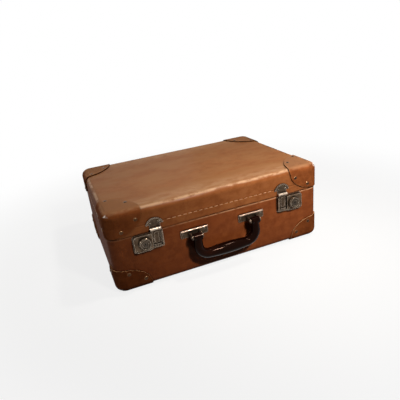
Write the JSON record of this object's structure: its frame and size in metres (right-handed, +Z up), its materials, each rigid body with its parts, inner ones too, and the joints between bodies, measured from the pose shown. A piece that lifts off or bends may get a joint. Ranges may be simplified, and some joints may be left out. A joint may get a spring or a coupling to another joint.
{
  "type": "vintage suitcase",
  "caption": "Hard travel case with a hinged lid, riveted leather corner caps, slide locks with hasps, a hanging moulded handle and back hinges; it lies flat and opens like a book.",
  "frame": {"origin": "middle of the footprint (fittings included), on the surface that the case lies on", "axes": "+X toward the right end seen from the front, +Y toward the hinges, +Z up; the handle is at -Y"},
  "size_m": [0.4064, 0.3174, 0.1502],
  "materials": {
    "board": "worn, satin",
    "cap_leather": "worn, satin",
    "rivet_metal": "tarnished",
    "hoop_wood": "plain",
    "lining": "matt",
    "handle_moulding": "polished",
    "dark_steel": "tarnished",
    "old_nickel": "tarnished"
  },
  "bodies": {
    "base": {"base_shell": "board", "base_hoop": "hoop_wood", "base_lining": "lining", "base_cap_front_left": "cap_leather", "base_cap_front_right": "cap_leather", "base_cap_back_left": "cap_leather", "base_cap_back_right": "cap_leather", "base_cap_rivets": "rivet_metal", "lock_plate_left": "old_nickel", "lock_plate_right": "old_nickel", "lock_cover_left": "old_nickel", "lock_cover_right": "old_nickel", "detent_spring_left": "dark_steel", "detent_spring_right": "dark_steel", "lock_rivets": "dark_steel", "handle_bracket_left": "old_nickel", "handle_bracket_right": "old_nickel", "handle_pin_left": "dark_steel", "handle_pin_right": "dark_steel", "handle_rivets": "dark_steel", "hinge_base_leaf_left": "old_nickel", "hinge_base_leaf_right": "old_nickel", "hinge_pin_left": "dark_steel", "hinge_pin_right": "dark_steel", "hinge_base_rivets": "dark_steel"},
    "lid": {"lid_shell": "board", "lid_hoop": "hoop_wood", "lid_lining": "lining", "lid_cap_front_left": "cap_leather", "lid_cap_front_right": "cap_leather", "lid_cap_back_left": "cap_leather", "lid_cap_back_right": "cap_leather", "lid_cap_rivets": "rivet_metal", "hasp_plate_left": "old_nickel", "hasp_plate_right": "old_nickel", "hasp_pin_left": "dark_steel", "hasp_pin_right": "dark_steel", "hasp_rivets": "dark_steel", "hinge_lid_leaf_left": "old_nickel", "hinge_lid_leaf_right": "old_nickel", "hinge_lid_rivets": "dark_steel"},
    "hasp_left": {"hasp_left": "old_nickel"},
    "hasp_right": {"hasp_right": "old_nickel"},
    "lock_slide_left": {"lock_knob_left": "old_nickel", "lock_bolt_left": "dark_steel"},
    "lock_slide_right": {"lock_knob_right": "old_nickel", "lock_bolt_right": "dark_steel"},
    "key_left": {"key_plug_left": "dark_steel"},
    "key_right": {"key_plug_right": "dark_steel"},
    "handle": {"handle": "handle_moulding"}
  },
  "joints": [
    {"name": "lid_hinge", "type": "hinge", "parent": "base", "child": "lid", "pos_m": [0, 0.1559, 0.1013], "axis": [-1, 0, 0], "range_deg": [0, 180]},
    {"name": "handle_swing", "type": "hinge", "parent": "base", "child": "handle", "pos_m": [0, -0.1485, 0.076], "axis": [-1, 0, 0], "range_deg": [0, 175]},
    {"name": "hasp_swing_left", "type": "hinge", "parent": "lid", "child": "hasp_left", "pos_m": [-0.121, -0.1369, 0.1052], "axis": [-1, 0, 0], "range_deg": [0, 150]},
    {"name": "knob_slide_left", "type": "slide", "parent": "base", "child": "lock_slide_left", "axis": [1, 0, 0], "range_m": [0, 0.0045]},
    {"name": "key_turn_left", "type": "hinge", "parent": "lock_slide_left", "child": "key_left", "pos_m": [-0.1425, -0.1391, 0.085], "axis": [0, 1, 0], "range_deg": [0, 90]},
    {"name": "hasp_swing_right", "type": "hinge", "parent": "lid", "child": "hasp_right", "pos_m": [0.121, -0.1369, 0.1052], "axis": [-1, 0, 0], "range_deg": [0, 150]},
    {"name": "knob_slide_right", "type": "slide", "parent": "base", "child": "lock_slide_right", "axis": [-1, 0, 0], "range_m": [0, 0.0045]},
    {"name": "key_turn_right", "type": "hinge", "parent": "lock_slide_right", "child": "key_right", "pos_m": [0.1425, -0.1391, 0.085], "axis": [0, 1, 0], "range_deg": [0, 90]}
  ]
}
